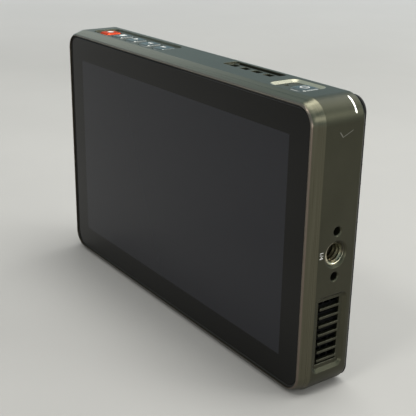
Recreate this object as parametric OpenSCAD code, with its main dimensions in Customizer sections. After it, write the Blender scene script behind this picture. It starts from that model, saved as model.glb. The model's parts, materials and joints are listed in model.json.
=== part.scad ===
// Five inch camera field monitor and recorder.
// Millimetres. +X is right as seen from the screen side, +Y runs from the screen to the back, +Z is up.
// The origin is on the surface that the monitor stands on, under the middle of its bounding box.
// Every module draws its piece from the middle of the lip's front plane; place() moves it to the origin.

/* [Shell] */
// Overall width of the metal shell
body_w = 130.4; // [129:0.2:134]
// Overall height of the metal shell
body_h = 81.94; // [81:0.02:85]
// Radius of the shell's corners seen from the front
corner_r = 6.5; // [6:0.1:7]
// Depth of the metal shell from the lip to its rear edge
shell_d = 17; // [16.6:0.1:18]
// Thickness of the shell's walls
wall = 2; // [1.6:0.1:2.2]
// Depth at which the sloped band round the front ends
band_y = 3.7; // [3:0.1:3.8]
// How far the sloped band draws in towards the front
band_in = 1.1; // [0.8:0.1:1.3]
// Size of the small bevel round the lip
bevel = 0.45; // [0.3:0.05:0.6]
// Width of the lip's flat front
lip_w = 0.1; // [0.1:0.05:0.3]
// Radius of the shell's rear edge
rear_r = 1; // [0.6:0.1:1.2]
// Radius of the bosses that take the cover screws
boss_r = 2.8; // [2.8:0.1:3]

/* [Screen] */
// Thickness of the cover glass
glass_t = 0.8; // [0.6:0.1:1]
// How far the glass lies behind the lip
glass_inset = 0.55; // [0.4:0.05:0.7]
// Width of the gasket between glass and lip
gasket_w = 0.55; // [0.4:0.05:0.7]
// Hairline gap on each side of the gasket
gasket_gap = 0.05; // [0.03:0.01:0.1]
// Thickness of the adhesive under the glass
adhesive_t = 0.15; // [0.1:0.05:0.3]
// Width of the ledge that carries the glass
ledge_w = 2.15; // [2:0.05:2.2]
// Thickness of that ledge
ledge_t = 1.4; // [1:0.1:1.6]
// Gap between the panel module and the ledge on its left and right
panel_gap_x = 1.1; // [0.8:0.05:2]
// Gap between the panel module and the ledge above and below it
panel_gap_z = 0.57; // [0.4:0.01:2]
// Thickness of the panel module
panel_t = 2.4; // [2:0.1:2.6]

/* [Buttons] */
// Side of a square transport button
button_w = 6; // [5.4:0.1:6.4]
// Distance between neighbouring buttons
button_pitch = 8.6; // [8.4:0.1:9]
// Distance of the first button's middle from the left side
button_in = 14; // [13:0.1:14.6]
// Distance of the row's centre line from the lip
button_y = 9.7; // [9.4:0.1:10]
// Depth of the shallow tray round the buttons
tray_depth = 0.6; // [0.4:0.1:0.8]
// Margin of the tray past the outer buttons
tray_margin = 1.3; // [1:0.1:1.6]
// Width of the tray from front to back
tray_w = 9.8; // [9.2:0.1:10.4]
// Clearance round each button in its hole
button_gap = 0.15; // [0.1:0.05:0.2]
// How far the button tops lie under the top face
button_sink = 0.1; // [0:0.05:0.2]
// Travel of every button
button_travel = 0.4; // [0.3:0.05:0.5]
// Width of the power button
power_w = 6.2; // [5.8:0.1:6.4]
// Distance of the power button's middle from the right side
power_in = 15.3; // [15:0.1:15.8]
// Length of the recess round the power button
power_recess_w = 13.4; // [13:0.1:14]
// Width of the recess round the power button
power_recess_d = 10.2; // [9.8:0.1:10.6]
// Depth of the recess round the power button
power_recess_depth = 0.75; // [0.5:0.05:0.9]
// Width of the recess's sloped wall
power_slope = 1.3; // [1:0.1:1.5]
// Radius of the light beside the power button
light_r = 0.6; // [0.4:0.05:0.8]

/* [Speaker slot] */
// Length of the slot in the top face
slot_w = 22.6; // [22:0.1:24]
// Distance of the slot's middle from the right side
slot_in = 40; // [39.6:0.1:40.6]
// Distance of the slot from the shell's rear edge
slot_rear = 1.9; // [1.6:0.1:2.2]
// Depth of the slot's shallow part
slot_depth = 0.5; // [0.3:0.1:0.7]
// Number of sound holes
hole_n = 4; // [3:1:4]
// Distance between the sound holes
hole_pitch = 5.2; // [5:0.1:5.4]
// Length of a sound hole across the body
hole_w = 3.2; // [2.8:0.1:3.4]

/* [Side vent] */
// Height of the vent recess in the right wall
vent_h = 22.6; // [22:0.1:23]
// Width of the vent recess from front to back
vent_w = 10.9; // [10.6:0.1:11]
// Height of the vent's middle above the underside
vent_up = 18.17; // [18:0.01:18.5]
// Depth of the vent recess
vent_depth = 0.9; // [0.6:0.1:1]
// Number of bars across the vent
bar_n = 7; // [5:1:7]
// Distance between the bars
bar_pitch = 2.57; // [2.4:0.01:2.6]
// Height of one bar
bar_t = 0.74; // [0.6:0.02:0.9]
// Gap between the bars' free ends and the front of the vent's window
bar_gap = 0.7; // [0.4:0.05:1]

/* [Mount] */
// Wall radius of the thread for a quarter inch screw
thread_r = 2.6; // [2.5:0.05:2.8]
// Outer radius of the thread insert
insert_r = 4.1; // [3.9:0.1:4.3]
// Length of the thread insert
insert_l = 8.9; // [8:0.1:9.4]
// Distance of the thread's axis from the lip
thread_y = 9.9; // [9.8:0.1:10]
// Height of the side thread's axis above the underside
thread_up = 40.97; // [40.9:0.01:41.1]
// Distance of each locating pin hole from the thread
pin_off = 6.35; // [6.25:0.05:6.5]
// Radius of the locating pin holes
pin_r = 1.15; // [1:0.05:1.3]
// Depth of the locating pin holes
pin_depth = 3.6; // [3:0.1:4]
// Width and depth of the countersink round the pin holes
pin_mouth = 0.35; // [0.2:0.05:0.5]

/* [Back] */
// How far the rear cover's rim lies inside the shell's
cover_in = 0.8; // [0.6:0.1:1]
// Thickness of the rear cover behind the shell
cover_t = 0.95; // [0.8:0.05:1.2]
// Radius of the rear cover's corners
cover_r = 4.3; // [4:0.1:5.6]
// How far the ribs stand off the cover
rib_h = 0.45; // [0.3:0.05:0.6]
// Height of one rib
rib_w = 2.2; // [1.8:0.1:2.6]
// How far the ribs end inside the cover's sides
rib_in = 0.6; // [0.3:0.1:0.8]
// Distance between the ribs
rib_pitch = 5.25; // [5:0.05:5.4]
// Width of the battery housing beside the bay, for the latch and the power inlet
flank_w = 11.1; // [10.8:0.1:12]
// Height of the battery housing
bat_h = 62; // [61:0.2:64]
// Depth of the battery housing behind the cover
bat_d = 9.15; // [9:0.05:10]
// Width of the bay that takes the battery
bay_w = 39.8; // [39:0.1:40.2]
// Depth of that bay
bay_d = 6; // [5.8:0.1:6.2]
// Wall of the battery housing
bat_wall = 2; // [1.8:0.1:2.2]
// Travel of the battery latch
latch_travel = 2; // [1.6:0.1:2.2]

/* [Fan] */
// Width of the blower
fan_w = 27; // [26:0.1:27.2]
// Height of the blower
fan_h = 26; // [25:0.1:26.2]
// Thickness of the blower
fan_t = 8.2; // [7.8:0.1:8.4]
// Radius of the blower's rotor
rotor_r = 10.8; // [10:0.1:11]
// Number of blades
blade_n = 11; // [7:1:13]
// Radius of the rotor's shaft
shaft_r = 0.75; // [0.6:0.05:0.9]
// Running clearance of the rotor on its shaft
shaft_gap = 0.05; // [0.03:0.01:0.08]

/* [Boards] */
// Thickness of the circuit boards
board_t = 1.2; // [1:0.1:1.4]
// Height of the stand-offs under the main board
standoff_l = 2.85; // [2.6:0.05:3]
// Thickness of the plate behind the panel
frame_t = 1; // [0.8:0.1:1.1]
// How far that plate ends inside the screw bosses, sideways
frame_in_x = 4.9; // [4.6:0.1:6]
// How far that plate ends inside the screw bosses, up and down
frame_in_z = 1.2; // [1.2:0.1:2.2]
// Distance of the main board from the left wall
board_in_left = 5.2; // [5:0.1:7]
// Distance of the main board from the right wall
board_in_right = 11.2; // [11:0.1:13]
// Distance of the main board from the upper wall
board_in_top = 7.97; // [7.9:0.01:9]
// Distance of the main board from the lower wall
board_in_bottom = 8.97; // [8.9:0.01:10]

/* [Sockets] */
// Depth of the card reader behind the left wall
card_l = 25; // [24.6:0.1:26]
// Width of the card slot
card_w = 24.6; // [24.4:0.1:25]
// Height of the card slot
card_gap = 2.6; // [2.4:0.1:3]
// Width of the card reader's case round the slot
card_rim = 1.1; // [0.9:0.1:1.2]
// Width of the video socket
video_w = 15; // [14.8:0.1:15.2]
// Height of the video socket
video_h = 5.6; // [5.4:0.1:5.8]
// Length of the video socket
video_l = 11.5; // [11:0.1:12]
// Width of the charging socket
usb_w = 9; // [8.9:0.1:9.2]
// Height of the charging socket
usb_h = 3.2; // [3.1:0.1:3.4]
// Length of the charging socket
usb_l = 7.6; // [7.4:0.1:8]
// Width of the headphone socket's block
phones_w = 6.4; // [6:0.1:6.8]
// Height of the headphone socket's block
phones_h = 5.4; // [5:0.1:5.6]
// Bore radius of the headphone socket
phones_r = 1.8; // [1.76:0.01:1.9]
// Length of the headphone socket's bore
phones_l = 12.5; // [12:0.1:14]
// Clearance of each socket in the left wall
socket_gap = 0.15; // [0.1:0.05:0.3]

/* [Hidden] */
$fn = 48;
touch = 0.05;

half_w = body_w / 2;
top_z = body_h / 2;
side_x = half_w - wall;
ceil_z = top_z - wall;
front_in = band_in + bevel + lip_w;
lip_r = corner_r - front_in;
ledge_in = front_in + ledge_w;
panel_w = body_w - 2 * (ledge_in + panel_gap_x);
panel_h = body_h - 2 * (ledge_in + panel_gap_z);
bat_w = bay_w + 2 * flank_w;
glass_y = glass_inset + glass_t;
seat_y = glass_y + adhesive_t;
cavity_r = corner_r - wall;
ledge_y = seat_y + ledge_t;
panel_y = glass_y + panel_t;
frame_y = panel_y + frame_t;
board_y = frame_y + standoff_l;
parts_y = board_y + board_t;
boss_x = half_w - boss_r - wall;
boss_z = top_z - boss_r - wall + 0.03;
frame_x = boss_x - frame_in_x;
frame_z = boss_z - frame_in_z;
pad_t = 1.2;
boss_end = shell_d - pad_t;
cover_y = shell_d + cover_t;
bat_y = cover_y + bat_d;
bay_y = bat_y - bay_d;
latch_pad_t = 0.7;
latch_lift = 0.1;
total_d = bat_y + latch_lift + latch_pad_t;

button_x = button_in - half_w;
power_x = half_w - power_in;
slot_x = half_w - slot_in;
vent_z = vent_up - top_z;
thread_z = thread_up - top_z;
button_xs = [for (k = [0:4]) button_x + k * button_pitch];
button_top = top_z - button_sink;
flange_t = 0.7;
flange_gap = 0.1;
flange_z = ceil_z - flange_gap - flange_t;
stem_l = 0.55;
switch_gap = button_travel + 0.05;
switch_top = flange_z - stem_l - switch_gap;
switch_h = 1.95;
small_board_z = switch_top - switch_h;
small_board_t = 1;
tab_z = small_board_z - small_board_t;
tab_t = 1;
board_x = power_x - 9.5;
light_x = power_x - 6.6;

speaker_w = 20.8;
speaker_y0 = 6.4;
speaker_y1 = shell_d - 1;
speaker_top = ceil_z - 0.8;
screen_t = 0.3;

insert_gap = 0.05;
skin = 0.7;
insert_x = half_w - skin;
vent_floor = half_w - vent_depth;
window_y0 = 5.7;
window_y1 = 13.2;
window_top = vent_z + vent_h / 2 - 1.78;
window_bot = vent_z - vent_h / 2 + 2.15;
bar_z0 = window_top - 2.37;

fins_x1 = side_x - 0.7;
fins_x0 = fins_x1 - 4.7;
fan_x = fins_x0 - 0.4 - fan_w / 2;
fan_z = vent_z - 0.2;
fan_y1 = frame_y + fan_t;
shell_t = 0.9;
chip_t = 1.2;
pad_h = 0.6;
pipe_z = fan_z + fan_h / 2 + 0.4;
pipe_h = 3.6;
pipe_y = parts_y + 2.8;
pipe_t = 1.8;
pad_x = half_w - 4.6;

latch_z = 22.5;
latch_h = 4.6;
latch_y = bat_y - bat_wall - 2.2;
latch_x0 = bay_w / 2 - 1.8;
latch_x1 = bat_w / 2 - bat_wall - latch_travel - 1;
latch_gap = 0.15;
inlet_x = bat_w / 2 - bat_wall - 3.6;
inlet_y = cover_y + 4;
shoe_t = 1.2;

// The left side's sockets share out the height between the screw bosses, with equal gaps
socket_x = half_w - 0.3;
card_h = card_w + 2 * card_rim;
sockets_h = card_h + video_w + usb_w + phones_w;
sockets_gap = (2 * (boss_z - boss_r) - sockets_h) / 5;
card_z = boss_z - boss_r - sockets_gap - card_h / 2;
video_z = card_z - card_h / 2 - sockets_gap - video_w / 2;
usb_z = video_z - video_w / 2 - sockets_gap - usb_w / 2;
phones_z = usb_z - usb_w / 2 - sockets_gap - phones_w / 2;

board_left = board_in_left - side_x;
board_right = side_x - board_in_right;
board_top = ceil_z - board_in_top;
board_bottom = board_in_bottom - ceil_z;
board_step = fan_x - fan_w / 2 - 2.4;
step_z = pipe_z + pipe_h + 5;
standoffs = [[board_left + 25, board_top - 3.4], [board_right - 4, board_top - 10],
    [board_step - 3.4, board_bottom + 4], [board_left + 12, board_bottom + 3.6],
    [board_step - 3, step_z + 5]];

// Moves a piece drawn from the middle of the lip's front plane to the origin
module place() {
    translate([0, -total_d / 2, body_h / 2]) children();
}

// Flat rounded rectangle
module rounded(w, h, r) {
    square([w - 2 * r, h], center = true);
    square([w, h - 2 * r], center = true);
    for (x = [-1, 1], y = [-1, 1]) translate([x * (w / 2 - r), y * (h / 2 - r)]) circle(r);
}

// Rounded plate facing the front, between two depths
module plate(w, h, r, y0, y1) {
    translate([0, y1, 0]) rotate([90, 0, 0]) linear_extrude(y1 - y0) rounded(w, h, r);
}

// Box between two corners
module block(a, b) {
    translate(a) cube(b - a);
}

// Round bar along Y
module rod_y(x, z, r, y0, y1) {
    translate([x, y1, z]) rotate([90, 0, 0]) cylinder(r = r, h = y1 - y0);
}

// Round bar along X
module rod_x(y, z, r, x0, x1) {
    translate([x0, y, z]) rotate([0, 90, 0]) cylinder(r = r, h = x1 - x0);
}

// Rounded slab along Z whose outline is drawn in by each rim point [inset, z]
module edged(w, h, r, rim) {
    last = len(rim) - 1;
    bar = function (half) concat([for (p = rim) [half - p[0], p[1]]],
        [for (k = [last:-1:0]) [rim[k][0] - half, rim[k][1]]]);
    rotate([90, 0, 90]) linear_extrude(w - 2 * r, center = true) polygon(bar(h / 2));
    rotate([90, 0, 0]) linear_extrude(h - 2 * r, center = true) polygon(bar(w / 2));
    corner = concat([[0, rim[0][1]]], [for (p = rim) [r - p[0], p[1]]], [[0, rim[last][1]]]);
    for (x = [-1, 1], y = [-1, 1]) translate([x * (w / 2 - r), y * (h / 2 - r)])
        rotate_extrude() polygon(corner);
}

// The same slab facing the back, its rim running along Y
module edged_back(w, h, r, rim) {
    rotate([-90, 0, 0]) edged(w, h, r, rim);
}

// Rim points of a quarter round that ends at depth end
function round_rim(r, end, n = 4) =
    [for (k = [0:n]) [r * (1 - cos(90 * k / n)), end - r + r * sin(90 * k / n)]];

// ---- Shell and screen ----

module shell_outside() {
    edged_back(body_w, body_h, corner_r, concat(
        [[band_in + bevel, 0], [band_in, bevel], [0, band_y]], round_rim(rear_r, shell_d)));
}

module tray_cut() {
    w = 4 * button_pitch + button_w + 2 * tray_margin;
    translate([button_x + 2 * button_pitch, button_y, 0])
        edged(w, tray_w, 2.4, [[0.4, top_z - tray_depth], [0, top_z - 0.2], [0, top_z + 1]]);
    for (x = button_xs) translate([x, button_y, ceil_z - 1]) linear_extrude(wall + 1)
        rounded(button_w + 2 * button_gap, button_w + 2 * button_gap, 1.2 + button_gap);
}

module power_cut() {
    floor_z = top_z - power_recess_depth;
    translate([power_x - 2.6, button_y - 0.1, 0]) edged(power_recess_w, power_recess_d, 2.6,
        [[power_slope, floor_z], [0.15, top_z - 0.12], [0, top_z], [0, top_z + 1]]);
    translate([power_x, button_y, ceil_z - 1]) linear_extrude(wall + 1)
        rounded(power_w + 2 * button_gap, power_w + 2 * button_gap, 1.2 + button_gap);
    translate([light_x, button_y - 0.4, ceil_z - 1]) cylinder(r = light_r, h = wall + 1);
}

module speaker_cut() {
    slot_y0 = button_y + 0.2;
    slot_y1 = shell_d - slot_rear;
    translate([slot_x, (slot_y0 + slot_y1) / 2, top_z - slot_depth]) linear_extrude(slot_depth + 1)
        rounded(slot_w, slot_y1 - slot_y0, 0.8);
    // A narrow deep groove along the back of the slot
    block([slot_x - slot_w / 2 + 1.6, slot_y1 - 0.9, top_z - 1.5],
        [slot_x + slot_w / 2 - 0.4, slot_y1, top_z]);
    hole_x0 = slot_x - hole_pitch * (hole_n - 1) / 2 - 1;
    for (k = [0:hole_n - 1]) translate([hole_x0 + k * hole_pitch, slot_y0 + 2.1, ceil_z - 1])
        linear_extrude(wall + 1) rounded(hole_w, 3, 0.5);
}

module vent_cut() {
    translate([0, window_y0 - 1.6 + vent_w / 2, vent_z]) rotate([0, 90, 0])
        edged(vent_h, vent_w, 2, [[vent_depth, vent_floor], [0, half_w], [0, half_w + 1]]);
    difference() {
        block([side_x - 1, window_y0, window_bot], [half_w, window_y1, window_top]);
        for (k = [0:bar_n - 1]) translate([0, 0, bar_z0 - k * bar_pitch])
            block([side_x - 2, window_y0 + bar_gap, -bar_t / 2], [half_w + 1, window_y1 + 1, bar_t / 2]);
    }
}

module left_cut() {
    g = socket_gap;
    x0 = -half_w - 1;
    x1 = -side_x + 1;
    card_y = parts_y + 0.35 + card_gap / 2;
    block([x0, card_y - card_gap / 2, card_z - card_w / 2], [x1, card_y + card_gap / 2, card_z + card_w / 2]);
    block([x0, parts_y - g, video_z - video_w / 2 - g],
        [x1, parts_y + video_h + g, video_z + video_w / 2 + g]);
    block([x0, parts_y - g, usb_z - usb_w / 2 - g], [x1, parts_y + usb_h + g, usb_z + usb_w / 2 + g]);
    rod_x(parts_y + phones_h / 2, phones_z, 2.7 + g, x0, x1);
}

module front_housing() color([0.36, 0.35, 0.31]) place() difference() {
    union() {
        difference() {
            shell_outside();
            plate(body_w - 2 * front_in, body_h - 2 * front_in, lip_r, -1, seat_y);
            plate(body_w - 2 * ledge_in, body_h - 2 * ledge_in, 3, 0, ledge_y + 1);
            plate(body_w - 2 * wall, body_h - 2 * wall, cavity_r, ledge_y, shell_d + 1);
        }
        // Bosses for the cover screws
        for (x = [-1, 1], z = [-1, 1]) intersection() {
            rod_y(x * boss_x, z * boss_z, boss_r, frame_y, boss_end);
            plate(body_w - wall, body_h - wall, corner_r - wall / 2, 0, shell_d);
        }
        // Bosses for the thread inserts and a pad for the pin holes
        rod_x(thread_y, thread_z, insert_r + 0.9, insert_x - insert_l - 0.4, side_x + wall / 2);
        block([pad_x, thread_y - 2.7, thread_z - pin_off - 2.6],
            [side_x + wall / 2, thread_y + 2.7, thread_z + pin_off + 2.6]);
        translate([0, thread_y, -top_z + wall / 2])
            cylinder(r = insert_r + 0.9, h = insert_l + skin + 0.4 - wall / 2);
    }
    tray_cut();
    power_cut();
    speaker_cut();
    vent_cut();
    left_cut();
    for (x = [-1, 1], z = [-1, 1]) rod_y(x * boss_x, z * boss_z, 0.9, boss_end - 6.5, boss_end + 1);
    // Side thread: seat of the insert, then the countersunk mouth
    rod_x(thread_y, thread_z, insert_r + insert_gap, insert_x - insert_l - 1, insert_x);
    translate([insert_x, thread_y, thread_z]) rotate([0, 90, 0])
        cylinder(r1 = insert_r - 0.9, r2 = insert_r - 0.2, h = skin);
    rod_x(thread_y, thread_z, insert_r - 0.2, half_w, half_w + 1);
    rod_x(thread_y, thread_z, insert_r - 0.9, insert_x - touch, insert_x + touch);
    for (z = [thread_z - pin_off, thread_z + pin_off]) {
        rod_x(thread_y, z, pin_r, half_w - pin_depth, half_w + 1);
        translate([half_w - pin_mouth, thread_y, z]) rotate([0, 90, 0])
            cylinder(r1 = pin_r, r2 = pin_r + pin_mouth, h = pin_mouth);
    }
    // Base thread
    translate([0, thread_y, -top_z + skin]) cylinder(r = insert_r + insert_gap, h = insert_l + 1);
    translate([0, thread_y, -top_z]) cylinder(r1 = insert_r - 0.2, r2 = insert_r - 0.9, h = skin);
    translate([0, thread_y, -top_z - 1]) cylinder(r = insert_r - 0.2, h = 1);
    translate([0, thread_y, -top_z + skin - touch]) cylinder(r = insert_r - 0.9, h = 2 * touch);
}

module cover_glass() color([0.03, 0.03, 0.035]) place() {
    in = front_in + gasket_w + 2 * gasket_gap;
    plate(body_w - 2 * in, body_h - 2 * in, corner_r - in, glass_inset, glass_y);
}

module glass_gasket() color([0.2, 0.18, 0.16]) place() {
    out = front_in + gasket_gap;
    in = out + gasket_w;
    back = ledge_in - 0.2;
    difference() {
        plate(body_w - 2 * out, body_h - 2 * out, corner_r - out, glass_inset + 0.1, seat_y);
        plate(body_w - 2 * in, body_h - 2 * in, corner_r - in, 0, glass_y);
        plate(body_w - 2 * back, body_h - 2 * back, 3.2, 0, seat_y + 1);
    }
}

module lcd_panel() color([0.08, 0.08, 0.09]) place() plate(panel_w, panel_h, 1, glass_y, panel_y);

module mid_frame() color([0.62, 0.63, 0.65]) place() {
    difference() {
        union() {
            plate(2 * frame_x, 2 * frame_z, 3, panel_y, frame_y);
            // Ears clamped between the panel and the screw bosses
            for (x = [-1, 1], z = [-1, 1]) {
                rod_y(x * boss_x, z * boss_z, 1.9, panel_y, frame_y);
                translate([x * (boss_x - 3.2), (panel_y + frame_y) / 2, z * boss_z])
                    cube([6.4, frame_t, 3.8], center = true);
            }
        }
        // Lightening holes
        for (x = [-38, -14, 14, 38]) plate_hole(x, 14);
    }
    // Tabs that carry the button board and the power board
    for (span = [[button_x - 6, button_x + 4 * button_pitch + 4], [board_x + 0.6, board_x + 14.6]])
        block([span[0], panel_y, tab_z - tab_t], [span[1], button_y + 1, tab_z]);
}

module plate_hole(x, w) {
    translate([x, 0, 0]) plate(w, 22, 3, panel_y - 1, frame_y + 1);
}

// ---- Boards and cooling ----

module main_board() color([0.05, 0.28, 0.14]) place() difference() {
    translate([0, board_y + board_t, 0]) rotate([90, 0, 0]) linear_extrude(board_t)
        polygon([[board_left, board_bottom], [board_step, board_bottom], [board_step, step_z],
            [board_right, step_z], [board_right, board_top], [board_left, board_top]]);
    for (p = standoffs) rod_y(p[0], p[1], 1.15, board_y - 1, parts_y + 1);
}

module board_standoffs() color([0.75, 0.72, 0.5]) place() for (p = standoffs) difference() {
    rod_y(p[0], p[1], 2.2, frame_y, board_y);
    rod_y(p[0], p[1], 1.05, frame_y + 0.6, board_y + 1);
}

module board_screws() color([0.6, 0.6, 0.62]) place() for (p = standoffs) difference() {
    union() {
        rod_y(p[0], p[1], 1, frame_y + 1, parts_y);
        rod_y(p[0], p[1], 1.9, parts_y, parts_y + 1.1);
    }
    rotate_slot(p) cube([2.6, 1.2, 0.5], center = true);
}

module rotate_slot(p) {
    translate([p[0], parts_y + 1.1, p[1]]) rotate([0, 35, 0]) children();
}

module chips() color([0.1, 0.1, 0.1]) place() {
    block([-7.5, parts_y, -7.5], [7.5, parts_y + chip_t, 7.5]);
    for (z = [-6, 6]) block([-19.5, parts_y, z - 4], [-10.5, parts_y + 1, z + 4]);
    block([board_right - 20, parts_y, step_z + 7], [board_right - 10, parts_y + 1, step_z + 17]);
}

module thermal_pad() color([0.55, 0.6, 0.7]) place()
    block([-8, parts_y + chip_t, -8], [8, parts_y + chip_t + pad_h, 8]);

module heat_spreader() color([0.72, 0.45, 0.3]) place()
    block([-21, parts_y + chip_t + pad_h, -15], [21, pipe_y, 15]);

module heat_pipe() color([0.72, 0.42, 0.26]) place() {
    block([-16, pipe_y, pipe_z], [fins_x0 + 2.2, pipe_y + pipe_t, pipe_z + pipe_h]);
    block([fins_x0, pipe_y, pipe_z - 2.6], [fins_x0 + 2.2, pipe_y + pipe_t, pipe_z + 1]);
}

module heat_fins() color([0.8, 0.8, 0.82]) place() {
    top = pipe_z - 2.6;
    bottom = window_bot;
    block([fins_x0, frame_y + 0.5, bottom], [fins_x1, frame_y + 0.9, top]);
    for (k = [0:7]) {
        z = bottom + k * (top - 0.6 - bottom) / 7;
        block([fins_x0, frame_y + 0.5, z], [fins_x1, pipe_y + pipe_t, z + (k == 7 ? 0.6 : 0.4)]);
    }
}

module fan_housing() color([0.12, 0.12, 0.13]) place() difference() {
    translate([fan_x, 0, fan_z]) plate(fan_w, fan_h, 3, frame_y, fan_y1);
    rod_y(fan_x, fan_z, rotor_r + 0.7, frame_y + shell_t, fan_y1 - shell_t);
    // Outlet towards the fins, then the round inlet
    block([fan_x, frame_y + shell_t, fan_z - fan_h / 2 + 1.5], [fan_x + fan_w, fan_y1 - shell_t, fan_z + 6]);
    rod_y(fan_x, fan_z, 8, fan_y1 - shell_t - 1, fan_y1 + 1);
    rod_y(fan_x, fan_z, shaft_r, frame_y - 1, frame_y + shell_t + 1);
}

module fan_shaft() color([0.8, 0.8, 0.82]) place()
    rod_y(fan_x, fan_z, shaft_r, frame_y, fan_y1 - shell_t - 0.3);

module fan_rotor() color([0.16, 0.16, 0.17]) place() {
    y0 = frame_y + shell_t + 0.4;
    y1 = fan_y1 - shell_t - 0.5;
    difference() {
        union() {
            rod_y(fan_x, fan_z, 5, y0, y1);
            rod_y(fan_x, fan_z, rotor_r - 0.8, y0, y0 + 0.6);
            for (k = [0:blade_n - 1]) translate([fan_x, 0, fan_z])
                rotate([0, k * 360 / blade_n, 0]) translate([4.6, 0, 0]) rotate([0, 28, 0])
                    block([0, y0, -0.3], [rotor_r - 4.9, y1 - 0.4, 0.3]);
        }
        rod_y(fan_x, fan_z, shaft_r + shaft_gap, y0 - 1, y1 + 1);
    }
}

module vent_screen() color([0.03, 0.03, 0.03]) place() difference() {
    block([side_x - 0.4, window_y0 - 0.8, window_bot - 0.5], [side_x, window_y1 + 0.8, window_top + 0.6]);
    for (r = [0:7], c = [0:2]) translate([side_x - 1, window_y0 + 0.4 + c * 2.5, window_bot + 0.5 + r * 2.4])
        cube([2, 2, 1.6]);
}

module inlet_grille() color([0.06, 0.06, 0.06]) place() translate([fan_x, 0, fan_z]) difference() {
    union() {
        rod_y(0, 0, 9, shell_d, cover_y + 0.1);
        rod_y(0, 0, 10.4, shell_d - 0.6, shell_d);
    }
    difference() {
        rod_y(0, 0, 8, shell_d - 1, cover_y + 1);
        for (k = [-3:3]) translate([-9, shell_d - 2, k * 2.2 - 0.4]) cube([18, 5, 0.8]);
        translate([-0.5, shell_d - 2, -9]) cube([1, 5, 18]);
    }
}

module button_board() color([0.05, 0.28, 0.14]) place()
    block([button_x - 6, button_y - 4, tab_z],
        [button_x + 4 * button_pitch + 4.6, button_y + 4, small_board_z]);

module switch_at(x) {
    translate([x - 2.3, button_y - 2.3, small_board_z]) cube([4.6, 4.6, switch_h - 0.35]);
    translate([x, button_y, small_board_z]) cylinder(r = 1.1, h = switch_h);
}

module button_switches() color([0.7, 0.7, 0.72]) place() for (x = button_xs) switch_at(x);

module power_board() color([0.05, 0.28, 0.14]) place()
    block([board_x, button_y - 4, tab_z], [board_x + 15, button_y + 4, small_board_z]);

module power_switch() color([0.7, 0.7, 0.72]) place() switch_at(power_x);

module power_light() color([0.8, 0.8, 0.78]) place()
    translate([light_x, button_y - 0.4, small_board_z])
        cylinder(r = light_r - 0.1, h = top_z - power_recess_depth - 0.35 - small_board_z);

// Flat cables from the small boards down to the main board
module button_ribbons() color([0.5, 0.3, 0.12]) place()
    for (x = [button_x + 3.2 * button_pitch, board_x + 4]) {
        block([x, button_y + 2, board_top - 3.5], [x + 6, button_y + 2.3, tab_z]);
        block([x, parts_y, board_top - 3.5], [x + 6, button_y + 2.3, board_top - 3.2]);
    }

module display_ribbon() color([0.5, 0.3, 0.12]) place() {
    block([8, panel_y, -frame_z - 0.6], [22, board_y, -frame_z - 0.3]);
    block([8, board_y - 0.3, -frame_z - 0.6], [22, board_y, board_bottom + 2]);
}

// ---- Speaker ----

module speaker() color([0.1, 0.1, 0.11]) place() difference() {
    block([slot_x - speaker_w / 2, speaker_y0, board_top + 2.2],
        [slot_x + speaker_w / 2, speaker_y1, speaker_top]);
    translate([slot_x, (speaker_y0 + speaker_y1) / 2, speaker_top - 0.6])
        linear_extrude(1) rounded(17, 6, 2.5);
}

module speaker_gasket() color([0.15, 0.15, 0.15]) place() difference() {
    block([slot_x - speaker_w / 2, speaker_y0, speaker_top],
        [slot_x + speaker_w / 2, speaker_y1, ceil_z - screen_t]);
    block([slot_x - speaker_w / 2 + 1.2, speaker_y0 + 1, speaker_top - 1],
        [slot_x + speaker_w / 2 - 1.2, speaker_y1 - 1, ceil_z]);
}

module speaker_screen() color([0.03, 0.03, 0.03]) place()
    block([slot_x - 10.8, speaker_y0 + 0.4, ceil_z - screen_t], [slot_x + 10.8, speaker_y1 + 0.2, ceil_z]);

// ---- Buttons ----

// A cap with softened edges, its flange under the wall and its stem over the switch
module button_cap(w) {
    edged(w, w, 1.2, concat([[0, flange_z]], [[0, button_top - 0.45]],
        [[0.06, button_top - 0.22], [0.22, button_top - 0.06], [0.45, button_top]]));
    translate([0, 0, flange_z]) linear_extrude(flange_t) rounded(w + 1.2, w + 1.2, 1);
    translate([0, 0, flange_z - stem_l]) cylinder(r = 1, h = stem_l);
}

module transport_button(k) place() translate([button_xs[k], button_y, 0]) button_cap(button_w);

module record_button() color([0.75, 0.1, 0.06]) transport_button(0);
module stop_button() color([0.42, 0.43, 0.42]) transport_button(1);
module play_button() color([0.42, 0.43, 0.42]) transport_button(2);
module back_button() color([0.42, 0.43, 0.42]) transport_button(3);
module forward_button() color([0.42, 0.43, 0.42]) transport_button(4);
module power_button() color([0.42, 0.43, 0.42]) place() translate([power_x, button_y, 0]) button_cap(power_w);

// ---- Thread inserts and sockets ----

module insert_body() {
    difference() {
        cylinder(r = insert_r, h = insert_l);
        translate([0, 0, -1]) cylinder(r = thread_r, h = insert_l + 2);
    }
}

module side_thread_insert() color([0.78, 0.77, 0.72]) place()
    translate([insert_x - insert_l, thread_y, thread_z]) rotate([0, 90, 0]) insert_body();

module base_thread_insert() color([0.78, 0.77, 0.72]) place()
    translate([0, thread_y, -top_z + skin]) insert_body();

module video_socket() color([0.7, 0.7, 0.72]) place() {
    x1 = -socket_x + video_l;
    difference() {
        block([-socket_x, parts_y, video_z - video_w / 2], [x1, parts_y + video_h, video_z + video_w / 2]);
        block([-socket_x - 1, parts_y + 0.5, video_z - video_w / 2 + 0.5],
            [x1 - 1.5, parts_y + video_h - 0.5, video_z + video_w / 2 - 0.5]);
    }
    block([-socket_x + 1, parts_y + 2.1, video_z - 6.2], [x1 - 1, parts_y + 3.3, video_z + 6.2]);
}

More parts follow.
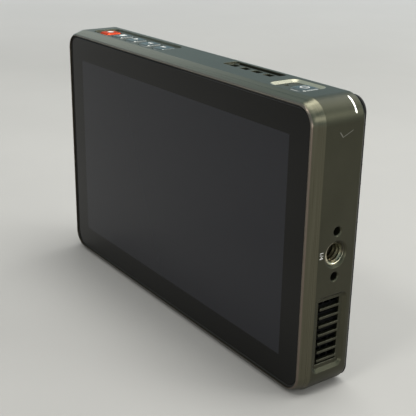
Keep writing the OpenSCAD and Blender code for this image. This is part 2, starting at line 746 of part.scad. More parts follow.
module usb_socket() color([0.7, 0.7, 0.72]) place() {
    x1 = -socket_x + usb_l;
    difference() {
        translate([-socket_x, parts_y + usb_h / 2, usb_z]) rotate([90, 0, 90])
            linear_extrude(usb_l) rounded(usb_h, usb_w, 1.5);
        translate([-socket_x - 1, parts_y + usb_h / 2, usb_z]) rotate([90, 0, 90])
            linear_extrude(usb_l - 0.4) rounded(usb_h - 0.7, usb_w - 0.7, 1.2);
    }
    block([-socket_x + 1, parts_y + usb_h / 2 - 0.35, usb_z - 3.3],
        [x1 - 1, parts_y + usb_h / 2 + 0.35, usb_z + 3.3]);
}

module headphone_jack() color([0.08, 0.08, 0.08]) place() {
    y = parts_y + phones_h / 2;
    difference() {
        union() {
            rod_x(y, phones_z, 2.7, -socket_x, -side_x + 0.6);
            block([-side_x + 0.2, parts_y, phones_z - phones_w / 2],
                [-socket_x + phones_l + 1, parts_y + phones_h, phones_z + phones_w / 2]);
        }
        rod_x(y, phones_z, phones_r, -socket_x - 1, -socket_x + phones_l);
    }
}

module card_reader() color([0.72, 0.72, 0.74]) place() difference() {
    case_t = 0.5;
    bay = card_gap - 0.3;
    block([-side_x + 0.2, parts_y, card_z - card_h / 2],
        [-side_x + card_l, parts_y + bay + 2 * case_t, card_z + card_h / 2]);
    block([-side_x - 1, parts_y + case_t, card_z - card_w / 2 + 0.1],
        [-side_x + card_l - 1, parts_y + case_t + bay, card_z + card_w / 2 - 0.1]);
}

// ---- Back ----

module battery_outline(grow, y0, y1) {
    plate(bat_w + 2 * grow, bat_h + 2 * grow, 6 + grow, y0, y1);
}

module rear_cover() color([0.07, 0.07, 0.07]) place() difference() {
    union() {
        edged_back(body_w - 2 * cover_in, body_h - 2 * cover_in, cover_r,
            [[0, shell_d], [0, cover_y - 0.3], [0.3, cover_y]]);
        for (x = [-1, 1], z = [-1, 1]) intersection() {
            rod_y(x * boss_x, z * boss_z, boss_r - 0.3, boss_end, shell_d + 0.1);
            plate(body_w - 2 * wall - 0.1, body_h - 2 * wall - 0.1, cavity_r - 0.05, 0, cover_y);
        }
        // Ribs across the back, left out under the battery housing
        difference() {
            for (k = [-6:6]) translate([0, 0, 1.5 + k * rib_pitch]) rib();
            battery_outline(0.4, 0, bat_y);
            rod_y(fan_x, fan_z, 10.2, 0, bat_y);
        }
    }
    battery_outline(-bat_wall - 1.5, 0, bat_y);
    rod_y(fan_x, fan_z, 9.05, 0, bat_y);
    for (x = [-1, 1], z = [-1, 1]) {
        rod_y(x * boss_x, z * boss_z, 1.1, 0, bat_y);
        rod_y(x * boss_x, z * boss_z, 2.1, shell_d - 0.2, bat_y);
    }
}

// One rib with round ends
module rib() {
    len = body_w - 2 * cover_in - 2 * rib_in - rib_w;
    for (x = [-1, 1]) rod_y(x * len / 2, 0, rib_w / 2, cover_y - 0.2, cover_y + rib_h);
    block([-len / 2, cover_y - 0.2, -rib_w / 2], [len / 2, cover_y + rib_h, rib_w / 2]);
}

module battery_housing() color([0.08, 0.08, 0.08]) place() difference() {
    edged_back(bat_w, bat_h, 6, concat([[0, cover_y]], round_rim(1.5, bat_y)));
    // The bay, open behind and above
    block([-bay_w / 2, bay_y, -bat_h / 2 + 3], [bay_w / 2, bat_y + 1, bat_h]);
    // Hollow under the bay's floor and in both flanks
    battery_outline(-bat_wall, 0, bay_y - bat_wall);
    for (s = [-1, 1]) mirror([s < 0 ? 1 : 0, 0, 0])
        block([bay_w / 2 + bat_wall, cover_y, -bat_h / 2 + 4],
            [bat_w / 2 - bat_wall, bat_y - bat_wall, bat_h / 2 - bat_wall]);
    // Window and slot for the latch
    block([bay_w / 2 - 1, latch_y - latch_gap, latch_z - latch_h / 2 - latch_gap],
        [bay_w / 2 + bat_wall + 1, bat_y - bat_wall, latch_z + latch_h / 2 + latch_gap]);
    block([latch_x0 + 3.4 - latch_gap, bat_y - bat_wall - 1, latch_z - 1.3 - latch_gap],
        [latch_x0 + 6 + latch_travel + latch_gap, bat_y + 1, latch_z + 1.3 + latch_gap]);
    // Mouth of the power inlet
    translate([-inlet_x, inlet_y, bat_h / 2 - bat_wall - 1]) cylinder(r = 3.2, h = bat_wall + 2);
}

module power_inlet() color([0.1, 0.1, 0.1]) place() translate([-inlet_x, inlet_y, 0]) {
    top = bat_h / 2 - bat_wall;
    difference() {
        union() {
            block([-3.5, -3, top - 12], [3.5, 3, top]);
            translate([0, 0, top]) cylinder(r = 3.1, h = bat_wall - 0.3);
        }
        translate([0, 0, top - 10]) cylinder(r = 2.8, h = 20);
    }
    translate([0, 0, top - 10.5]) cylinder(r = 1, h = 10);
}

module battery_shoe() color([0.14, 0.14, 0.14]) place() {
    low = -bat_h / 2 + 3;
    x1 = bay_w / 2 - 0.3;
    difference() {
        union() {
            block([-x1, bay_y, low], [x1, bay_y + shoe_t, bat_h / 2 - 5]);
            // Block that holds the contacts
            block([-9, bay_y, low], [9, bay_y + 4.6, low + 5]);
        }
        for (x = [-14, 14], z = [-12, 12]) rod_y(x, z, 1.2, bay_y - 1, bay_y + shoe_t + 1);
    }
    // Side rails that the battery's grooves slide on
    for (s = [-1, 1], z = [-20, -2]) translate([s * (x1 - 0.6), 0, z])
        block([-0.6, bay_y, 0], [0.6, bay_y + 3.4, 9]);
}

module battery_contacts() color([0.85, 0.65, 0.3]) place() for (x = [-6, -2, 2, 6]) {
    z = -bat_h / 2 + 8;
    block([x - 0.3, bay_y + shoe_t + 0.6, z], [x + 0.3, bay_y + 4.2, z + 3]);
}

module battery_latch() color([0.2, 0.2, 0.2]) place() {
    block([latch_x0, latch_y, latch_z - latch_h / 2], [latch_x1, latch_y + 2, latch_z + latch_h / 2]);
    block([latch_x0 + 3.4, latch_y + 1, latch_z - 1.3],
        [latch_x0 + 6, bat_y + latch_lift + 0.2, latch_z + 1.3]);
    translate([latch_x0 + 4.7, bat_y + latch_lift, latch_z]) rotate([-90, 0, 0])
        linear_extrude(latch_pad_t - 0.3) rounded(5.4, 8, 1);
    for (x = [-1.8, -0.6, 0.6, 1.8]) translate([latch_x0 + 4.7 + x - 0.2, bat_y + latch_lift, latch_z - 3])
        cube([0.4, latch_pad_t, 6]);
}

module latch_spring() color([0.75, 0.75, 0.75]) place() difference() {
    rod_x(latch_y + 1, latch_z, 0.9, latch_x1, bat_w / 2 - bat_wall);
    rod_x(latch_y + 1, latch_z, 0.6, latch_x1 - 1, bat_w / 2);
}

module cover_screws() color([0.3, 0.3, 0.3]) place() for (x = [-1, 1], z = [-1, 1]) difference() {
    union() {
        rod_y(x * boss_x, z * boss_z, 0.85, boss_end - 5.5, shell_d);
        rod_y(x * boss_x, z * boss_z, 1.9, shell_d - 0.2, cover_y - 0.1);
    }
    translate([x * boss_x, cover_y - 0.1, z * boss_z]) rotate([90, 0, 0]) cylinder(r = 0.8, h = 0.7, $fn = 6);
}

front_housing();
rear_cover();
cover_glass();
glass_gasket();
lcd_panel();
mid_frame();
main_board();
board_standoffs();
board_screws();
chips();
thermal_pad();
heat_spreader();
heat_pipe();
heat_fins();
fan_housing();
fan_shaft();
fan_rotor();
vent_screen();
inlet_grille();
button_board();
button_switches();
power_board();
power_switch();
power_light();
button_ribbons();
display_ribbon();
speaker();
speaker_gasket();
speaker_screen();
record_button();
stop_button();
play_button();
back_button();
forward_button();
power_button();
side_thread_insert();
base_thread_insert();
video_socket();
usb_socket();
headphone_jack();
card_reader();
power_inlet();
battery_housing();
battery_shoe();
battery_contacts();
battery_latch();
latch_spring();
cover_screws();
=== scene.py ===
# Five inch camera field monitor and recorder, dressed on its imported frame.
# Metres: x runs right as seen from the screen side, y to the back, z up.
import json
import math

import bmesh
import bpy
from mathutils import Matrix, Vector

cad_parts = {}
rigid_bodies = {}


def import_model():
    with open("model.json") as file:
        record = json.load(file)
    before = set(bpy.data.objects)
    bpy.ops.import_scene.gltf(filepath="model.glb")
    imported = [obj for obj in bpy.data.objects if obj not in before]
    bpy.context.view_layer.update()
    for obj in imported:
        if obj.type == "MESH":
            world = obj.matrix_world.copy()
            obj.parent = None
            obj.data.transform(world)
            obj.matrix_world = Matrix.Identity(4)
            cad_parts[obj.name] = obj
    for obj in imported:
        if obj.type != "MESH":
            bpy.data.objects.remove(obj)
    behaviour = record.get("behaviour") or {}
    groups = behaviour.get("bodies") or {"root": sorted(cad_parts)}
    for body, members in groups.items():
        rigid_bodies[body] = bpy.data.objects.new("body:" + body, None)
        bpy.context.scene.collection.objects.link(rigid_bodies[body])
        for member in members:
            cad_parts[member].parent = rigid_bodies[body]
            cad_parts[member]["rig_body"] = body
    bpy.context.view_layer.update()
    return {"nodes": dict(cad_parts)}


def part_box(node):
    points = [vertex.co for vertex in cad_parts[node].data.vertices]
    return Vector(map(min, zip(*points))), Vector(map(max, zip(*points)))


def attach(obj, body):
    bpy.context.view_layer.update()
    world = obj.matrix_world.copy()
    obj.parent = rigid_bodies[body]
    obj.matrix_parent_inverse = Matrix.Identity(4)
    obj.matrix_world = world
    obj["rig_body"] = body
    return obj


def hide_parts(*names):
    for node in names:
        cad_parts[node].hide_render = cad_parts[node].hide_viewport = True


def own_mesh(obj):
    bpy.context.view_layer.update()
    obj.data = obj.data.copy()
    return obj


for leftOver in list(bpy.data.objects):
    bpy.data.objects.remove(leftOver)
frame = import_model()
nodes = frame["nodes"]
mm = 0.001

# The lip's front plane, the body's middle height and the shell's right wall and top
shellLow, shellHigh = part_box("front_housing")
lipY = shellLow.y
middleZ = (shellLow.z + shellHigh.z) / 2
wallX = shellHigh.x
topZ = shellHigh.z


# Node trees

def feed(tree, node, inputs):
    # Links the inputs that are sockets, and sets the others on theirs
    for name, value in inputs.items():
        if isinstance(value, bpy.types.NodeSocket):
            tree.links.new(value, node.inputs[name])
        else:
            node.inputs[name].default_value = value


def addNode(tree, kind, inputs=None, **settings):
    node = tree.nodes.new(kind)
    for name, value in settings.items():
        setattr(node, name, value)
    feed(tree, node, inputs or {})
    return node.outputs


def useGroup(tree, group, inputs):
    return addNode(tree, "ShaderNodeGroup", inputs, node_tree=group)


def mathOf(tree, operation, first, second):
    return addNode(tree, "ShaderNodeMath", {0: first, 1: second}, operation=operation)["Value"]


def vectorOf(tree, operation, *operands):
    outputs = addNode(tree, "ShaderNodeVectorMath", dict(enumerate(operands)), operation=operation)
    return outputs["Value" if operation in ("DOT_PRODUCT", "LENGTH") else "Vector"]


def mixValue(tree, factor, first, second):
    return addNode(tree, "ShaderNodeMix", {0: factor, 2: first, 3: second})[0]


def mixColor(tree, factor, first, second):
    return addNode(tree, "ShaderNodeMix", {0: factor, 6: first, 7: second}, data_type="RGBA")[2]


def spread(tree, value, low, high, fromLow=0.3, fromHigh=0.7):
    # Maps a noise value to the range that a socket needs
    return addNode(tree, "ShaderNodeMapRange", {"Value": value, "From Min": fromLow, "From Max": fromHigh,
                                                "To Min": low, "To Max": high})["Result"]


def noise(tree, place, scale, detail, roughness=0.5):
    return addNode(tree, "ShaderNodeTexNoise", {"Vector": place, "Scale": scale, "Detail": detail,
                                                "Roughness": roughness})["Fac"]


def drawnLines(tree, place, scale, detail):
    # Noise that an uneven scale stretches into lines
    stretched = addNode(tree, "ShaderNodeMapping", {"Vector": place, "Scale": scale})["Vector"]
    return noise(tree, stretched, 1.0, detail)


# Shared effects

origin = (0.0, 0.0, 0.0)


def newGroup(name, inputs, outputs):
    # An input is a vector where its default is a tuple, and a plain value elsewhere
    group = bpy.data.node_groups.new(name, "ShaderNodeTree")
    for label, value in inputs.items():
        kind = "NodeSocketVector" if isinstance(value, tuple) else "NodeSocketFloat"
        group.interface.new_socket(label, in_out="INPUT", socket_type=kind).default_value = value
    for label in outputs:
        group.interface.new_socket(label, in_out="OUTPUT", socket_type="NodeSocketFloat")
    return group, group.nodes.new("NodeGroupInput").outputs, group.nodes.new("NodeGroupOutput").inputs


# Detail and roughness of the noise
grainForm = {"fine": (3.0, 0.6), "slow": (4.0, 0.55)}


def makeGrainGroup():
    # Fine grain of a blasted or moulded surface, with slow clouds of tone
    group, given, out = newGroup("surfaceGrain", {"Vector": origin, "Grain": 3000.0, "Clouds": 40.0},
                                 ["Fine", "Slow"])
    group.links.new(noise(group, given["Vector"], given["Grain"], *grainForm["fine"]), out["Fine"])
    group.links.new(noise(group, given["Vector"], given["Clouds"], *grainForm["slow"]), out["Slow"])
    return group


# Cosine between the rounded and the flat normal, then the patches that break up the rubbed edges
wearForm = {"flat": 0.995, "sharp": 0.86, "samples": 4, "patches": 420.0, "detail": 3.0,
            "patchLow": 0.38, "patchHigh": 0.62, "least": 0.25}


def makeWearGroup():
    # Mask of the edges, where the finish is rubbed thin
    s = wearForm
    group, given, out = newGroup("edgeWear", {"Vector": origin, "Radius": 0.4 * mm, "Amount": 0.5}, ["Mask"])
    rounded = addNode(group, "ShaderNodeBevel", {"Radius": given["Radius"]}, samples=s["samples"])["Normal"]
    flat = addNode(group, "ShaderNodeNewGeometry")["Normal"]
    edge = spread(group, vectorOf(group, "DOT_PRODUCT", rounded, flat), 0.0, 1.0, s["flat"], s["sharp"])
    broken = noise(group, given["Vector"], s["patches"], s["detail"])
    patches = spread(group, broken, s["least"], 1.0, s["patchLow"], s["patchHigh"])
    worn = mathOf(group, "MULTIPLY", edge, patches)
    group.links.new(mathOf(group, "MULTIPLY", worn, given["Amount"]), out["Mask"])
    return group


def makeBoxGroup():
    # 1 inside a box of that centre and half size, 0 outside, with a soft rim
    group, given, out = newGroup("boxMask", {"Vector": origin, "Centre": origin, "Half": (1.0, 1.0, 1.0),
                                             "Soft": 0.1 * mm}, ["Mask"])
    away = vectorOf(group, "ABSOLUTE", vectorOf(group, "SUBTRACT", given["Vector"], given["Centre"]))
    past = vectorOf(group, "SUBTRACT", away, given["Half"])
    parts = addNode(group, "ShaderNodeSeparateXYZ", {"Vector": past})
    most = mathOf(group, "MAXIMUM", mathOf(group, "MAXIMUM", parts["X"], parts["Y"]), parts["Z"])
    ratio = mathOf(group, "DIVIDE", most, given["Soft"])
    group.links.new(spread(group, ratio, 1.0, 0.0, -1.0, 1.0), out["Mask"])
    return group


# How square a mark's ends are, and the share of its size within which it is whole
markForm = {"bluntness": 4.0, "whole": 0.45}


def makeMarkGroup():
    # One long thin mark with blunt ends, cut off past a small depth
    group, given, out = newGroup("thinMark", {
        "Vector": origin, "Centre": origin, "Along": (1.0, 0.0, 0.0), "Across": (0.0, 1.0, 0.0),
        "Length": 1 * mm, "Width": 1 * mm, "Depth": 1 * mm, "Amount": 1.0}, ["Mask"])
    offset = vectorOf(group, "SUBTRACT", given["Vector"], given["Centre"])
    normal = vectorOf(group, "CROSS_PRODUCT", given["Along"], given["Across"])
    squares = []
    for axis, reach in ((given["Along"], "Length"), (given["Across"], "Width"), (normal, "Depth")):
        share = mathOf(group, "DIVIDE", vectorOf(group, "DOT_PRODUCT", offset, axis), given[reach])
        squares.append(mathOf(group, "MULTIPLY", share, share))
    blunt = mathOf(group, "POWER", squares[0], markForm["bluntness"])
    away = mathOf(group, "ADD", mathOf(group, "ADD", blunt, squares[1]), squares[2])
    group.links.new(spread(group, away, given["Amount"], 0.0, markForm["whole"], 1.0), out["Mask"])
    return group


grainGroup = makeGrainGroup()
markGroup = makeMarkGroup()
wearGroup = makeWearGroup()
boxGroup = makeBoxGroup()
print("shared effects ready")


def grainOf(tree, place, grain, clouds):
    return useGroup(tree, grainGroup, {"Vector": place, "Grain": grain, "Clouds": clouds})


def wornEdges(tree, place, radius, amount):
    return useGroup(tree, wearGroup, {"Vector": place, "Radius": radius, "Amount": amount})["Mask"]


def insideBox(tree, place, centre, half, soft):
    return useGroup(tree, boxGroup, {"Vector": place, "Centre": centre, "Half": half, "Soft": soft})["Mask"]


# Finishes

def newFinish(name):
    material = bpy.data.materials.new(name)
    material.use_nodes = True
    tree = material.node_tree
    place = addNode(tree, "ShaderNodeTexCoord")["Object"]
    return material, tree, tree.nodes["Principled BSDF"], place


def bumpOf(tree, height, strength, distance):
    inputs = {"Height": height, "Strength": strength, "Distance": distance}
    return addNode(tree, "ShaderNodeBump", inputs)["Normal"]


def rgb(red, green, blue):
    return (red, green, blue, 1.0)


def rubbedColor(color, gain, lift=0.0):
    # The tone that shows where a finish is rubbed
    return rgb(*[min(1.0, channel * gain + lift) for channel in color[:3]])


shellFinish = {
    "dark": rgb(0.037, 0.036, 0.0225), "light": rgb(0.0525, 0.0506, 0.0338), "bare": rgb(0.36, 0.35, 0.28),
    "bandDark": rgb(0.074, 0.07, 0.047), "bandLight": rgb(0.103, 0.097, 0.068),
    # The brightest tone paints a lamp's glint on the rear corner as a highlight, and the bare metal of two
    # small scuffs
    # The rim tone is a painted highlight on the sloped walls of the power recess
    "bevel": rgb(0.13, 0.105, 0.085), "rim": rgb(0.3, 0.285, 0.22), "glintAndScuffTone": rgb(0.9, 0.88, 0.82),
    "metallic": 0.9, "smooth": 0.38, "rough": 0.47, "bandSmooth": 0.27, "bandRough": 0.35, "polish": 0.2,
    "grain": 5200.0, "clouds": 55.0, "toneShare": 0.35, "lineScale": (30.0, 5200.0, 30.0), "lineDetail": 2.0,
    "bandDepth": 3.7 * mm, "bandSoft": 0.1 * mm, "bevelDepth": 0.42 * mm, "bevelSoft": 0.05 * mm,
    "wearRadius": 0.25 * mm, "wear": 0.3, "bump": 0.22, "relief": 0.03 * mm,
}
# Painted highlight on the sloped rim of the power recess, where the light falls on it, placed from the middle
# of the button's cap and the top of the shell
litRimForm = {"left": 2.6 * mm, "below": 0.38 * mm, "half": (7.4 * mm, 5.8 * mm, 0.31 * mm), "soft": 0.03 * mm}
# Bright marks in mm: the first is a painted highlight, a lamp's glint along the rounded rear corner, and the
# other two are small light scuffs on the right wall. Centre from the lip and the middle height, direction,
# half length and width
glintAndScuffMarks = [
    {"centre": (63.3, 13.9, 38.9), "along": (0.707, 0, -0.707), "outward": (1, 0, 1),
     "length": 2.7, "width": 0.3, "depth": 1.4, "amount": 1.0},
    {"centre": (65.2, 8.95, 32.0), "along": (0, 0.62, -0.785), "outward": (1, 0, 0),
     "length": 1.0, "width": 0.16, "depth": 0.5, "amount": 0.16},
    {"centre": (65.2, 11.2, 32.1), "along": (0, 0.92, 0.39), "outward": (1, 0, 0),
     "length": 1.9, "width": 0.1, "depth": 0.5, "amount": 0.16},
]


def glintAndScuffMask(tree, place):
    strongest = 0.0
    for mark in glintAndScuffMarks:
        x, y, z = mark["centre"]
        along = Vector(mark["along"]).normalized()
        mask = useGroup(tree, markGroup, {
            "Vector": place, "Centre": (x * mm, lipY + y * mm, middleZ + z * mm),
            "Along": along, "Across": Vector(mark["outward"]).normalized().cross(along),
            "Length": mark["length"] * mm, "Width": mark["width"] * mm, "Depth": mark["depth"] * mm,
            "Amount": mark["amount"]})["Mask"]
        strongest = mathOf(tree, "MAXIMUM", strongest, mask)
    return strongest


def litRecessRim(tree, place):
    low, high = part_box("power_button")
    centre = ((low.x + high.x) / 2 - litRimForm["left"], (low.y + high.y) / 2, topZ - litRimForm["below"])
    return insideBox(tree, place, centre, litRimForm["half"], litRimForm["soft"])


def makeShellMetal():
    s = shellFinish
    material, tree, shader, place = newFinish("shellMetal")
    grain = grainOf(tree, place, s["grain"], s["clouds"])
    onBand = insideBox(tree, place, (0, lipY + s["bandDepth"] / 2, middleZ), (1, s["bandDepth"] / 2, 1),
                       s["bandSoft"])
    onBevel = insideBox(tree, place, (0, lipY, middleZ), (1, s["bevelDepth"], 1), s["bevelSoft"])
    # Blasted grain, and turned lines that run round the sloped band
    pattern = mixValue(tree, onBand, grain["Fine"], drawnLines(tree, place, s["lineScale"], s["lineDetail"]))
    worn = wornEdges(tree, place, s["wearRadius"], s["wear"])
    # Painted highlight of a lamp's glint on the rear corner, together with two light scuffs on the right wall
    brightening = glintAndScuffMask(tree, place)
    clouded = mixColor(tree, spread(tree, grain["Slow"], 0.0, 1.0), s["dark"], s["light"])
    blastedTone = mixColor(tree, spread(tree, pattern, 0.0, s["toneShare"]), clouded, s["light"])
    bandTone = mixColor(tree, spread(tree, pattern, 0.0, 1.0), s["bandDark"], s["bandLight"])
    tone = mixColor(tree, onBand, blastedTone, bandTone)
    tone = mixColor(tree, onBevel, tone, s["bevel"])
    # Painted highlight on the lit sloped walls of the power recess
    tone = mixColor(tree, litRecessRim(tree, place), tone, s["rim"])
    tone = mixColor(tree, worn, tone, s["bare"])
    rough = mixValue(tree, onBand, spread(tree, pattern, s["smooth"], s["rough"]),
                     spread(tree, pattern, s["bandSmooth"], s["bandRough"]))
    feed(tree, shader, {"Base Color": mixColor(tree, brightening, tone, s["glintAndScuffTone"]),
                        "Roughness": mixValue(tree, brightening, rough, s["polish"]),
                        "Metallic": s["metallic"], "Normal": bumpOf(tree, pattern, s["bump"], s["relief"])})
    return material


glassFinish = {
    "border": rgb(0.0026, 0.0026, 0.002), "lit": rgb(0.0168, 0.0177, 0.0218), "index": 1.275,
    "litWidth": 110.7 * mm, "litHeight": 62.3 * mm, "litSoft": 0.12 * mm,
    "smooth": 0.035, "smeared": 0.075, "grain": 900.0, "smears": 28.0,
}


def makeDarkGlass():
    s = glassFinish
    material, tree, shader, place = newFinish("darkGlass")
    onPanel = insideBox(tree, place, (0, lipY, middleZ), (s["litWidth"] / 2, 1, s["litHeight"] / 2),
                        s["litSoft"])
    smear = grainOf(tree, place, s["grain"], s["smears"])["Slow"]
    feed(tree, shader, {"Base Color": mixColor(tree, onPanel, s["border"], s["lit"]),
                        "Roughness": spread(tree, smear, s["smooth"], s["smeared"]), "IOR": s["index"]})
    return material


mouldedFinish = {"clouds": 70.0, "wearRadius": 0.2 * mm, "wear": 0.35, "gain": 1.4, "lift": 0.004,
                 "relief": 0.04 * mm}


def makeMoulded(name, color, light, rough, grain=2400.0, bump=0.18, coat=0.0, gloss=0.5):
    # Moulded plastic or rubber with a spark-eroded grain
    s = mouldedFinish
    material, tree, shader, place = newFinish(name)
    texture = grainOf(tree, place, grain, s["clouds"])
    worn = wornEdges(tree, place, s["wearRadius"], s["wear"])
    tone = mixColor(tree, spread(tree, texture["Slow"], 0.0, 1.0), color, light)
    feed(tree, shader, {"Base Color": mixColor(tree, worn, tone, rubbedColor(light, s["gain"], s["lift"])),
                        "Roughness": spread(tree, texture["Fine"], *rough),
                        "Coat Weight": coat, "Specular IOR Level": gloss,
                        "Normal": bumpOf(tree, texture["Fine"], bump, s["relief"])})
    return material


brushedFinish = {"lineScale": (900.0, 60.0, 900.0), "lineDetail": 3.0, "wearRadius": 0.15 * mm, "wear": 0.5,
                 "gain": 1.25, "bump": 0.12, "relief": 0.02 * mm}


def makeBrushed(name, color, light, rough=(0.22, 0.36)):
    # Bare metal with fine drawn lines along one axis
    s = brushedFinish
    material, tree, shader, place = newFinish(name)
    lines = drawnLines(tree, place, s["lineScale"], s["lineDetail"])
    worn = wornEdges(tree, place, s["wearRadius"], s["wear"])
    tone = mixColor(tree, spread(tree, lines, 0.0, 1.0), color, light)
    feed(tree, shader, {"Base Color": mixColor(tree, worn, tone, rubbedColor(light, s["gain"])),
                        "Roughness": spread(tree, lines, *rough), "Metallic": 1.0,
                        "Normal": bumpOf(tree, lines, s["bump"], s["relief"])})
    return material


capFinish = {"grain": 5200.0, "clouds": 300.0, "wearRadius": 0.2 * mm, "wear": 0.3, "gain": 1.8,
             "rough": (0.24, 0.32), "bump": 0.1, "relief": 0.02 * mm}


def makeCapFinish(name, color, light, metallic, tint):
    # Satin caps of the buttons, brighter at the edges where fingers rub them
    s = capFinish
    material, tree, shader, place = newFinish(name)
    texture = grainOf(tree, place, s["grain"], s["clouds"])
    worn = wornEdges(tree, place, s["wearRadius"], s["wear"])
    tone = mixColor(tree, spread(tree, texture["Slow"], 0.0, 1.0), color, light)
    feed(tree, shader, {"Base Color": mixColor(tree, worn, tone, rubbedColor(light, s["gain"])),
                        "Roughness": spread(tree, texture["Fine"], *s["rough"]),
                        "Metallic": metallic, "Specular Tint": tint,
                        "Normal": bumpOf(tree, texture["Fine"], s["bump"], s["relief"])})
    return material


boardFinish = {
    "mask": rgb(0.008, 0.09, 0.035), "track": rgb(0.02, 0.16, 0.07), "via": rgb(0.75, 0.66, 0.42),
    "tracks": 420.0, "vias": 260.0, "trackEdge": (0.04, 0.08), "viaEdge": (0.12, 0.17),
    "rough": (0.42, 0.34), "bump": 0.25, "relief": 0.03 * mm,
}


def makeBoard():
    # Solder mask with faint tracks and tinned vias
    s = boardFinish
    material, tree, shader, place = newFinish("boardGreen")
    tracks = addNode(tree, "ShaderNodeTexVoronoi", {"Vector": place, "Scale": s["tracks"]},
                     feature="DISTANCE_TO_EDGE", distance="EUCLIDEAN")["Distance"]
    vias = addNode(tree, "ShaderNodeTexVoronoi", {"Vector": place, "Scale": s["vias"]})["Distance"]
    onTrack = spread(tree, tracks, 1.0, 0.0, *s["trackEdge"])
    onVia = spread(tree, vias, 1.0, 0.0, *s["viaEdge"])
    green = mixColor(tree, onTrack, s["mask"], s["track"])
    feed(tree, shader, {"Base Color": mixColor(tree, onVia, green, s["via"]), "Metallic": onVia,
                        "Roughness": spread(tree, onTrack, *s["rough"], 0.0, 1.0),
                        "Normal": bumpOf(tree, onTrack, s["bump"], s["relief"])})
    return material


ribbonFinish = {
    "film": rgb(0.32, 0.13, 0.02), "line": rgb(0.52, 0.27, 0.07), "lines": 330.0, "lineEdge": (0.45, 0.6),
    "rough": (0.32, 0.42), "bump": 0.2, "relief": 0.02 * mm,
}


def makeRibbon():
    # Amber film with the copper lines that run inside it
    s = ribbonFinish
    material, tree, shader, place = newFinish("ribbonFilm")
    bands = addNode(tree, "ShaderNodeTexWave", {"Vector": place, "Scale": s["lines"], "Distortion": 0.0},
                    bands_direction="X")["Fac"]
    line = spread(tree, bands, 0.0, 1.0, *s["lineEdge"])
    feed(tree, shader, {"Base Color": mixColor(tree, line, s["film"], s["line"]),
                        "Roughness": spread(tree, line, *s["rough"], 0.0, 1.0),
                        "Normal": bumpOf(tree, line, s["bump"], s["relief"])})
    return material


wovenFinish = {
    "gap": rgb(0.0015, 0.0015, 0.0015), "thread": rgb(0.006, 0.006, 0.006), "threads": 900.0,
    "rough": (0.7, 0.5), "gloss": 0.05, "bump": 0.4, "relief": 0.05 * mm,
}


def makeWoven():
    # Fine black gauze behind the vents and the speaker slot
    s = wovenFinish
    material, tree, shader, place = newFinish("wovenMesh")
    across, along = [addNode(tree, "ShaderNodeTexWave", {"Vector": place, "Scale": s["threads"]},
                             bands_direction=axis)["Fac"] for axis in "ZY"]
    weave = mathOf(tree, "MULTIPLY", across, along)
    feed(tree, shader, {"Base Color": mixColor(tree, weave, s["gap"], s["thread"]),
                        "Roughness": spread(tree, weave, *s["rough"], 0.0, 1.0),
                        "Specular IOR Level": s["gloss"],
                        "Normal": bumpOf(tree, weave, s["bump"], s["relief"])})
    return material


threadFinish = {
    # The root tone is painted shade in the thread's roots, the crest tone a painted highlight on its crests
    "root": rgb(0.022, 0.02, 0.015), "crest": rgb(0.95, 0.87, 0.64), "smooth": 0.22, "rough": 0.34,
    "grain": 6000.0, "clouds": 700.0, "patches": (0.75, 1.0), "bump": 0.08, "relief": 0.01 * mm,
}


def makeThreadSteel():
    # Cut steel, with painted highlights on the thread's crests and painted shade in its roots and deep in the
    # bore
    s = threadFinish
    material, tree, shader, place = newFinish("threadSteel")
    crest = addNode(tree, "ShaderNodeAttribute", attribute_name="crest")["Fac"]
    texture = grainOf(tree, place, s["grain"], s["clouds"])
    # Painted light on the crests, fading to painted shade in the roots and deeper in the bore
    brightening = mathOf(tree, "MULTIPLY", crest, spread(tree, texture["Slow"], *s["patches"]))
    feed(tree, shader, {"Base Color": mixColor(tree, brightening, s["root"], s["crest"]),
                        "Roughness": spread(tree, texture["Fine"], s["smooth"], s["rough"]), "Metallic": 1.0,
                        "Normal": bumpOf(tree, texture["Fine"], s["bump"], s["relief"])})
    return material


